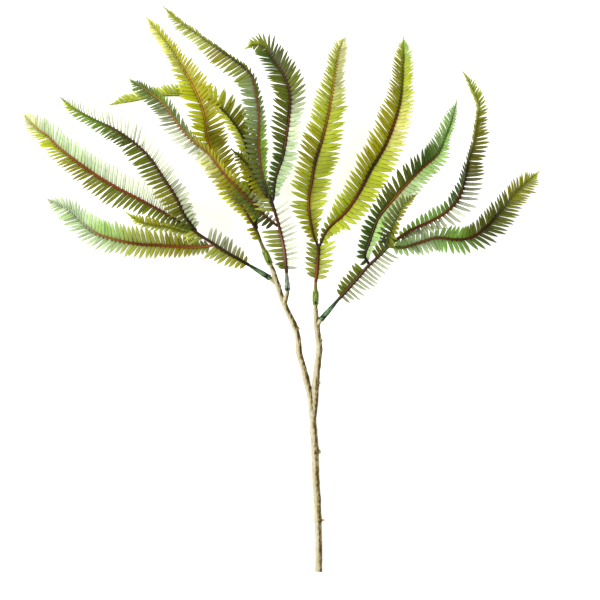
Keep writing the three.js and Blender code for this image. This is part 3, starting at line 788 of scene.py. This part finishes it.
# The rib thins towards its tip, where the leaflets shorten and one last leaflet makes the point.
RIB_HALF_WIDTH = 2.0
RIB_TAPER = 0.6
TWIG_TAPER = 0.15
RIB_STEP = 3
RIB_LIFT = 0.35
RIB_END = 0.2
TIP_EASE = 20.0
TIP_SPIKE = 13.0
TIP_WIDTH = 2.6
TWIG_END = 2.0

# How uneven the leaflets are, as standard deviations: of their pitch, their angle in degrees, their
# length and their tint, which varies more where the leaflets are rolled.
UNEVEN_PITCH = 0.03
UNEVEN_ANGLE = 1.8
UNEVEN_LENGTH = 0.055
UNEVEN_TINT = 0.09
UNEVEN_ROLLED_TINT = 0.14
SHARP_EDGE = math.radians(55)


# The tints of the sprays, by how they look: greens, yellow greens, pale grey-greens, and the ribs'
# browns. Being colours as seen, they hold painted light: rows that face the light are pale with painted
# sheen, and rows that face away are darker with painted shade. Leaflets' paint is mixed brighter, most
# in the left-hand rows, whose faces look away from the light.
BRIGHTEST = 0.9
GAIN = dict(left=2.48, right=1.92, rib=1.0)
TINTS = dict(
    night=(44, 54, 14), forest=(60, 82, 20), bottle=(66, 76, 16), moss=(90, 98, 16), fern=(96, 126, 36),
    leaf=(118, 162, 60), apple=(150, 188, 100), mint=(164, 188, 134), frost=(190, 206, 164),
    olive=(110, 108, 12), khaki=(134, 132, 14), mustard=(156, 154, 12), lime=(166, 178, 36),
    lemon=(188, 194, 20), sage=(136, 144, 56), straw=(206, 206, 106), cream=(222, 224, 156),
    # Painted sheen: the pale grey-greens stand for light glancing off the rows that face it.
    slate=(86, 104, 54), ash=(118, 124, 90), dust=(152, 160, 126), bleach=(188, 196, 166),
    dusk=(44, 38, 16), umber=(78, 50, 12), wine=(106, 54, 14), russet=(132, 66, 16),
    ochre=(156, 100, 18), gold=(228, 176, 40), copper=(164, 112, 50), rose=(156, 108, 88),
)


def tints(row, names):
    """The paints of a row of leaflets or of a rib, in order from its bottom to its tip."""
    return [tuple(min(c * GAIN[row], BRIGHTEST) for c in paint(*TINTS[name])) for name in names.split()]


def leafy_piece(node, path, reach, left, right, rib, seed, **shape):
    """A frond or twig: its rib's path, how long its leaflets are on the left and on the right, the
    tints of both rows and of the rib, all from bottom to tip, and how the leaflets stand. It takes
    the place of the CAD node of that name."""
    twist = shape.get("twist", [0, 0])
    rise = shape.get("rise", RISE)
    roll = shape.get("roll", ([0, 0], [0, 0]))
    rib_width = shape.get("rib_width", RIB_HALF_WIDTH)
    pointed = shape.get("pointed", True)
    sweep = shape.get("sweep", SWEEP)
    bare = shape.get("bare", ((0, 0), (0, 0)))
    fill = shape.get("fill", FILL)
    source = shape.get("source")
    left = tints("left", left)
    right = tints("right", right)
    rib = tints("rib", rib)
    line = Path(path)
    draw = np.random.default_rng(seed)

    def rib_half(along):
        taper = RIB_TAPER if pointed else TWIG_TAPER
        return rib_width * (1 - taper * min(max(along / line.length, 0), 1))

    def blade(along, out, side):
        """A place on the blade, and the way its upper face looks."""
        centre, _, right_hand, up = line.axes(along)
        lift = math.radians(side * spread(twist, along / line.length) + rise)
        place = centre + right_hand * side * out * math.cos(lift) + up * out * math.sin(lift)
        place[2] = max(place[2], BLADE / 2)
        return place, up * math.cos(lift) - right_hand * side * math.sin(lift)

    points = []
    data = {name: [] for name in ("is_leaflet", "mould", "out", "face", "size", "tint", "rib_tint", "half")}

    def add(place, is_leaflet, mould, out, face_way, size, tint, rib_colour, half):
        points.append(place)
        for name, value in zip(data, (is_leaflet, mould, out, face_way, size, tint, rib_colour, half)):
            data[name].append(value)

    nothing = (0, 0, 0)
    if source is not None:
        add(np.array(source), False, 0, nothing, nothing, (1, 1, 1), rib[0], rib[0], rib_half(0) * MM)
    rib_steps = max(8, round(line.length / RIB_STEP))
    for i in range(rib_steps + 1):
        along = line.length * i / rib_steps
        centre, _, _, up = line.axes(along)
        half = rib_half(along)
        if pointed:
            half *= min(1, RIB_END + (line.length - along) / TIP_EASE)
        centre = centre + up * (RIB_LIFT * half)
        centre[2] = max(centre[2], half)
        colour = spread(rib, along / line.length)
        add(centre, False, 0, nothing, nothing, (1, 1, 1), colour, colour, half * MM)
    edges = [(i, i + 1) for i in range(len(points) - 1)]

    for hand, side, row in ((0, -1, left), (1, 1, right)):
        middle = STALK + spread(PITCH, 0) * (0.25 + 0.5 * draw.random())
        while middle < line.length - (0.5 * TIP_SPIKE if pointed else TWIG_END):
            t = middle / line.length
            pitch = spread(PITCH, t) if pointed else TWIG_PITCH
            if not bare[hand][0] < middle < bare[hand][1]:
                turned = math.radians(spread(roll[hand], t)) * side
                uneven = UNEVEN_TINT + UNEVEN_ROLLED_TINT * abs(turned)
                angle = math.radians(spread(sweep, t) + draw.normal(0, UNEVEN_ANGLE))
                length = spread(reach[hand], t) * (1 + draw.normal(0, UNEVEN_LENGTH))
                if pointed:
                    length *= min(1, (line.length - middle - 0.3 * TIP_SPIKE) / TIP_EASE)
                root, face_way = blade(middle, rib_half(middle) * LEAFLET_ROOT, side)
                end, _ = blade(middle + length * math.cos(angle), length * math.sin(angle), side)
                way = end - root
                length = np.linalg.norm(way)
                way /= length
                face_way = face_way * math.cos(turned) + np.cross(way, face_way) * math.sin(turned)
                width = pitch * fill[hand] * max(math.sin(angle), LEAST_NARROWING)
                tint = np.clip(np.array(spread(row, t)) * (1 + draw.normal(0, uneven)), 0, 1)
                size = (length * MM, width * MM, MM)
                mould = 2 * hand + int(draw.random() < 0.5)
                add(root, True, mould, way, face_way, size, tint, spread(rib, t), 0.0)
            middle += pitch * (1 + draw.normal(0, UNEVEN_PITCH))
    if pointed:
        root, face_way = blade(line.length - TIP_SPIKE, 0, 1)
        end, _ = blade(line.length, 0, 1)
        way = end - root
        length = np.linalg.norm(way)
        size = (length * MM, TIP_WIDTH * MM, MM)
        add(root, True, TIP_MOULD, way / length, face_way, size, right[-1], right[-1], 0.0)

    base = bpy.data.meshes.new(f"{node}_layout")
    base.from_pydata([tuple(p) for p in in_place(points)], edges, [])
    for name, kind, field in (
        ("is_leaflet", "BOOLEAN", "value"), ("mould", "INT", "value"), ("half", "FLOAT", "value"),
        ("out", "FLOAT_VECTOR", "vector"), ("face", "FLOAT_VECTOR", "vector"),
        ("size", "FLOAT_VECTOR", "vector"),
    ):
        values = np.array(data[name]).reshape(-1)
        base.attributes.new(name, kind, "POINT").data.foreach_set(field, values)
    for name in ("tint", "rib_tint"):
        colours = np.column_stack([np.array(data[name]), np.ones(len(points))])
        base.attributes.new(name, "FLOAT_COLOR", "POINT").data.foreach_set("color", colours.reshape(-1))
    piece = bpy.data.objects.new(f"leafy_{node}", base)
    bpy.context.scene.collection.objects.link(piece)
    modifier = piece.modifiers.new("leafing", "NODES")
    modifier.node_group = leafing
    sockets = {s.name: s.identifier for s in leafing.interface.items_tree if s.in_out == "INPUT"}
    modifier[sockets["Moulds"]] = moulds
    modifier[sockets["Finish"]] = leaf_finish
    modifier[sockets["Seed"]] = seed
    made = bpy.data.meshes.new_from_object(piece.evaluated_get(bpy.context.evaluated_depsgraph_get()))
    piece.modifiers.clear()
    piece.data = made
    bpy.data.meshes.remove(base)
    made.shade_smooth()
    made.set_sharp_from_angle(angle=SHARP_EDGE)
    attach(piece, "root")
    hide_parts(node)
    return line


# The twigs. A thick stalk grows out of each sleeve with short leaflets on both sides, and its end and
# flanks carry the fronds. The stalks are stained dark brown over green.
TWIG = dict(rib_width=2.4, pointed=False, sweep=[82, 78, 70])
STALK_GAP = 0.35


def above_sleeve(letter):
    """Where the twig starts, a little above its sleeve's neck."""
    _, _, length = sleeve_line(letter)
    return on_sleeve(letter, length + STALK_GAP)


twigs = {}
twigs["a"] = leafy_piece(
    "twig_a",
    [above_sleeve("a"), (-56, 39, 37.5), (-72, 48, 39), (-89, 59, 40), (-106, 70, 41), (-117, 78, 41)],
    reach=([9, 18, 25, 27, 24, 18], [8, 17, 23, 23, 20, 16]),
    left="khaki sage sage",
    right="olive ash dust",
    rib="dusk umber umber",
    seed=11, fill=(0.94, 0.85), bare=((50, 72), (66, 200)), roll=([0, -10], [-15, -30]), **TWIG,
)
twigs["b"] = leafy_piece(
    "twig_b",
    [above_sleeve("b"), (-30, 74, 46), (-34, 82, 47)],
    reach=([10, 16], [10, 16]),
    left="khaki khaki",
    right="khaki khaki",
    rib="olive umber",
    seed=12, bare=((0, 0), (0, 200)), **TWIG,
)
twigs["c"] = leafy_piece(
    "twig_c",
    [
        above_sleeve("c"), (8, 35, 66), (6, 51, 71), (3, 66, 74.5), (-1, 82, 77),
        (-7, 103, 79.5), (-12, 120, 81),
    ],
    reach=([10, 18, 26, 31, 30, 26], [14, 24, 25, 25, 24, 22]),
    left="moss sage sage",
    right="bleach bleach bleach",
    rib="umber rose wine dusk",
    seed=13, fill=(0.88, 0.66), bare=((64, 86), (92, 200)), roll=([0, -10], [-30, -38]), **TWIG,
)
twigs["d"] = leafy_piece(
    "twig_d",
    [above_sleeve("d"), (50, 21, 48.5), (51, 37, 50.5), (52, 50, 51), (52, 56, 50.5)],
    reach=([12, 18, 20, 21, 22, 22], [10, 18, 22, 24, 28, 30]),
    left="sage sage",
    right="sage lime",
    rib="russet russet umber",
    seed=14, fill=(1.0, 1.0), **TWIG,
)
twigs["e"] = leafy_piece(
    "twig_e",
    [
        above_sleeve("e"), (92, -1, 35), (105, 14, 41.5), (118, 29, 47.5), (131, 41, 52),
        (145, 55, 55.5), (158, 66, 57),
    ],
    reach=([12, 18, 20, 20, 20, 18], [14, 24, 28, 28, 26, 24]),
    left="moss moss",
    right="ash dust dust",
    rib="umber umber umber fern",
    seed=15, fill=(0.92, 0.8), bare=((52, 76), (94, 200)), roll=([0, 10], [28, 36]), **TWIG,
)


def off_twig(letter, back, forward=0, right=0, up=0):
    """Where a frond starts: back from its twig's end, then forward, right and up from there."""
    line = twigs[letter]
    centre, heading, right_hand, upper = line.axes(line.length - back)
    return centre + heading * forward + right_hand * right + upper * up


# Spray A. Three long fronds and a short one reach to the left. The two uppermost are olive in their
# lower rows, and their upper rows are pale with painted sheen. The long ones' brown ribs fade before the
# tip.
leafy_piece(
    "frond_a1",
    [
        off_twig("a", 0, STALK_GAP, 0, 0), (-145, 95, 41), (-181, 115, 39), (-215, 133, 35),
        (-246, 151, 30), (-273, 170, 24), (-300, 191, 15), (-311, 203, 11), (-326, 214, 7.5),
        (-350, 238, 0),
    ],
    reach=([8, 19, 31, 26, 22, 11], [10, 30, 27, 26, 24, 17]),
    left="bottle moss moss olive lime cream",
    right="dust bleach frost mint mint cream",
    rib="dusk wine russet russet copper straw",
    seed=21, fill=(0.88, 1.0), twist=[4, 4, 0, -6], roll=([0, 0], [-30, -36, -34, -10, -20, -30]),
    source=off_twig("a", 3),
)
leafy_piece(
    "frond_a2",
    [
        off_twig("a", 3, 0, 2.5, 0.5), (-128, 99, 50), (-138, 120, 58), (-155, 147, 62), (-175, 176, 63),
        (-198, 197, 60), (-222, 213, 54), (-249, 226, 45), (-274, 240, 36), (-298, 258, 28),
    ],
    reach=([12, 26, 28, 22, 17, 9], [12, 22, 23, 27, 19, 11]),
    left="bottle olive moss bottle fern lime",
    right="dust dust bleach bleach bleach dust",
    rib="dusk umber umber umber moss lime",
    seed=22, fill=(0.88, 1.0), twist=[6, 4, 0, 0], roll=([0, 0], [-30, -36, -38, -38, -34, -25]),
    source=off_twig("a", 5),
)
leafy_piece(
    "frond_a3",
    [
        off_twig("a", 34, 0, -2.3, -0.8), (-105, 55, 31), (-129, 55, 23), (-159, 57, 18), (-191, 59, 14.5),
        (-222, 65, 11.5), (-244, 72, 9.5), (-262, 85, 7.5), (-283, 105, 4.5), (-319, 122, 0),
    ],
    reach=([10, 18, 23, 27, 25, 13], [8, 22, 28, 26, 19, 9]),
    left="moss olive sage mint mint frost",
    right="moss olive sage apple mint frost",
    rib="russet russet wine copper frost frost",
    seed=23, roll=([0, 0, 0, 20, 35, 40], [-10, -10, -10, 0, -20, -30]),
    source=off_twig("a", 34),
)
leafy_piece(
    "frond_a4",
    [
        off_twig("a", 6, 0, -2.4, -0.8), (-130, 75, 36), (-150, 81, 33.5), (-172, 84, 32),
        (-189, 90, 30), (-209, 103, 26),
    ],
    reach=([8, 12, 12, 12, 9, 5], [8, 12, 12, 12, 9, 5]),
    left="sage sage lime",
    right="sage khaki lime",
    rib="moss khaki lime",
    seed=24, twist=[-18, -20, -10],
    source=off_twig("a", 7),
)

# Spray B. Two long yellow fronds: one arches up to the left over the other, which lies turned on its
# edge beyond the crossing.
leafy_piece(
    "frond_b1",
    [
        off_twig("b", 0, STALK_GAP, 0, 0), (-49, 106, 46), (-63, 124, 44.5), (-74, 145, 44), (-90, 178, 46),
        (-98, 203, 49), (-101, 230, 51), (-112, 261, 50), (-128, 292, 46), (-150, 326, 38), (-181, 366, 25),
    ],
    reach=([8, 22, 29, 31, 17, 10], [10, 25, 30, 27, 12, 9]),
    left="mustard lemon lemon lemon straw straw",
    right="khaki khaki khaki mustard mustard lime",
    rib="umber ochre gold gold gold lime straw",
    seed=31, twist=[-6, -16, -20, -16, -4], roll=([0, 0, 0, 0, 45, 45], [0, 0]),
    source=off_twig("b", 3),
)
leafy_piece(
    "frond_b2",
    [
        off_twig("b", 3, 0, 2.4, -1), (-38, 110, 36), (-40, 134, 29), (-41, 164, 25), (-48, 196, 22.5),
        (-64, 223, 20.5), (-85, 245, 17.5), (-106, 256, 15.5), (-135, 259, 13.5), (-166, 258, 11),
        (-198, 252, 7.5), (-232, 247, 3.5),
    ],
    reach=([6, 16, 24, 24, 16, 8], [14, 21, 28, 30, 23, 14]),
    left="moss lime lemon lime lime lime",
    right="moss khaki khaki lime lime lime",
    rib="umber umber olive khaki khaki lime",
    seed=32, twist=[0, -2, -10, -36, -42, -60, -66, -64, -58],
    source=off_twig("b", 4),
)

# Spray C. The darkest fronds stand highest: three long ones and a short one. The right-hand leaflets
# of the first are pale with painted sheen, as the twig's are, and the long ribs are wine brown.
leafy_piece(
    "frond_c1",
    [
        off_twig("c", 3, 0, 2.5, 0.5), (-5, 147, 88), (4, 174, 93), (9, 200, 95), (13, 231, 93),
        (14, 257, 88), (7, 280, 81), (-10, 307, 71), (-21, 322, 65.5), (-33, 325, 61), (-48, 319, 56),
    ],
    reach=([8, 17, 30, 29, 21, 9], [8, 21, 20, 26, 24, 12]),
    left="bottle forest moss moss forest moss",
    right="mint mint frost moss bottle lime",
    rib="dusk umber wine umber umber moss",
    seed=41, fill=(0.9, 1.0), twist=[-8, -10, -8, 0], roll=([0, 0], [10, 0, 10, 20, 10, 0]),
    source=off_twig("c", 5),
)
leafy_piece(
    "frond_c2",
    [
        off_twig("c", 0, STALK_GAP, 0, 0), (-22, 150, 75), (-26, 174, 70), (-27, 204, 68), (-27, 233, 67),
        (-31, 259, 66), (-38, 285, 65), (-56, 302, 62), (-83, 321, 57), (-110, 340, 50),
        (-135, 358, 42), (-159, 381, 33),
    ],
    reach=([8, 24, 25, 30, 18, 6], [6, 22, 20, 15, 12, 6]),
    left="night bottle bottle slate slate moss olive sage sage lime",
    right="forest fern fern slate forest moss olive sage sage lime",
    rib="dusk wine wine dusk olive mustard",
    seed=42, twist=[26, 36, 38, 48, 56, 42, 24],
    source=off_twig("c", 3),
)
leafy_piece(
    "frond_c3",
    [
        off_twig("c", 38, 0, -2.7, 0.4), (-21, 98, 81), (-41, 119, 84), (-58, 136, 84), (-76, 156, 81),
        (-95, 180, 77), (-120, 200, 73), (-138, 222, 69), (-156, 247, 64), (-179, 265, 57), (-205, 282, 49),
    ],
    reach=([14, 20, 24, 24, 21, 12], [8, 18, 20, 24, 14, 8]),
    left="night bottle bottle olive straw bleach bleach ash slate slate fern",
    right="bleach dust moss khaki khaki khaki slate slate fern slate mint",
    rib="umber wine russet ochre copper copper fern",
    seed=43, twist=[10, 24, 44, 44, 20, 6], roll=([0, 0, 30, 45, 20, 0], [40, 20, 0, 0, 0, 0]),
    source=off_twig("c", 38),
)
leafy_piece(
    "frond_c4",
    [
        off_twig("c", 6, 0, -2.5, -0.6), (-24, 134, 69), (-32, 148, 60), (-42, 164, 56),
        (-52, 174, 54), (-66, 187, 53),
    ],
    reach=([10, 16, 17, 17, 13, 6], [10, 16, 17, 17, 13, 6]),
    left="khaki mustard khaki",
    right="olive khaki moss",
    rib="umber moss bottle",
    seed=44, twist=[10, 30, 30], rise=10,
    source=off_twig("c", 6),
)

# Spray D. Two even yellow-green fronds grow in a V from the end of their twig. Their brown ribs turn
# pale near the tips.
leafy_piece(
    "frond_d1",
    [
        off_twig("d", 0, 0.9, -1.5, 0), (44, 76, 49.5), (40, 98, 48), (39, 119, 46), (43, 142, 43),
        (48, 170, 38.5), (57, 199, 32.5), (65, 231, 25.5), (71, 264, 17.5), (76, 299, 9.5),
        (81, 323, 4.5), (90, 343, 0),
    ],
    reach=([8, 29, 33, 29, 19, 12], [4, 28, 34, 27, 16, 12]),
    left="khaki lime khaki lime lime straw",
    right="khaki lime lime lime cream cream",
    rib="umber ochre umber ochre gold straw",
    seed=51, fill=(0.92, 1.05), roll=([0, 0], [0, 0, 0, 10, 40, 40]),
    source=off_twig("d", 2),
)
leafy_piece(
    "frond_d2",
    [
        off_twig("d", 0, 0.9, 1.5, 0), (64, 78, 50), (86, 99, 49), (103, 122, 47.5), (121, 156, 44),
        (141, 190, 38.5), (155, 224, 32.5), (163, 256, 26.5), (166, 292, 20), (167, 320, 15),
        (166, 341, 11),
    ],
    reach=([4, 27, 34, 34, 23, 13], [8, 27, 29, 26, 18, 11]),
    left="moss lime mustard mustard khaki lime",
    right="lime lime lime straw lime apple",
    rib="umber russet umber russet olive lime",
    seed=52, fill=(0.92, 1.08), twist=[-4, -12, -12, -6],
    source=off_twig("d", 2),
)

# Spray E. Four fronds reach to the right: a straight one, light green with painted sheen on its right,
# a short one on its edge, one that turns up with its blade rolled under, and one that sweeps low to the
# far right.
leafy_piece(
    "frond_e1",
    [
        off_twig("e", 52, 0, -2.6, 0.6), (114, 43, 57), (120, 61, 63), (132, 93, 68), (150, 116, 70),
        (172, 141, 69), (195, 164, 65.5), (211, 178, 61.5), (223, 204, 54), (232, 228, 46.5),
        (238, 255, 38),
    ],
    reach=([12, 20, 29, 28, 20, 8], [5, 16, 23, 22, 8, 5]),
    left="forest forest moss forest apple mint",
    right="mint apple mint apple apple mint",
    rib="dusk umber ochre russet leaf leaf",
    seed=61, fill=(0.95, 1.0), twist=[0, -10, -12, -4],
    source=off_twig("e", 52),
)
leafy_piece(
    "frond_e2",
    [
        off_twig("e", 18, 0, -2.6, 0.8), (148, 73, 77), (154, 89, 86), (163, 105, 92),
        (174, 117, 94), (185, 127, 92),
    ],
    reach=([8, 17, 18, 18, 14, 8], [8, 18, 19, 18, 13, 8]),
    left="night bottle moss",
    right="moss olive khaki",
    rib="bottle bottle khaki",
    seed=62, twist=[10, 40, 36],
    source=off_twig("e", 18),
)
leafy_piece(
    "frond_e3",
    [
        off_twig("e", 0, STALK_GAP + 0.25, 0, 0), (175, 77, 61), (200, 88, 64), (222, 101, 65),
        (238, 118, 63.5), (247, 143, 59.5), (251, 168, 54.5), (259, 193, 48.5), (263, 220, 42),
        (266, 245, 36), (258, 267, 31), (245, 293, 25),
    ],
    reach=([8, 18, 26, 18, 15, 8], [6, 21, 30, 25, 16, 8]),
    left="leaf leaf forest bottle khaki lime lime",
    right="moss dust bleach olive khaki lime lime",
    rib="russet russet russet umber mustard straw straw",
    seed=63, fill=(0.9, 0.92), rib_width=2.3, twist=[4, 0, -30, -48, -50, -46, -38],
    roll=([0, 0], [10, 45, 48, 0, 0, 0]),
    source=off_twig("e", 2),
)
leafy_piece(
    "frond_e4",
    [
        off_twig("e", 15, 0, 2.3, -1), (165, 54, 50), (185, 60, 46), (211, 67, 42), (235, 65, 38),
        (255, 67, 33), (274, 79, 27.5), (296, 102, 19.5), (322, 132, 10), (351, 158, 0),
    ],
    reach=([14, 24, 20, 21, 21, 13], [10, 21, 24, 29, 22, 13]),
    left="leaf mint leaf moss moss khaki lime",
    right="apple mint leaf bottle moss khaki lime",
    rib="khaki copper wine umber sage lime",
    seed=64, fill=(0.9, 0.9),
    source=off_twig("e", 15),
)

# The moulds are put away.
for mould in list(moulds.objects):
    bpy.data.objects.remove(mould)
bpy.data.collections.remove(moulds)
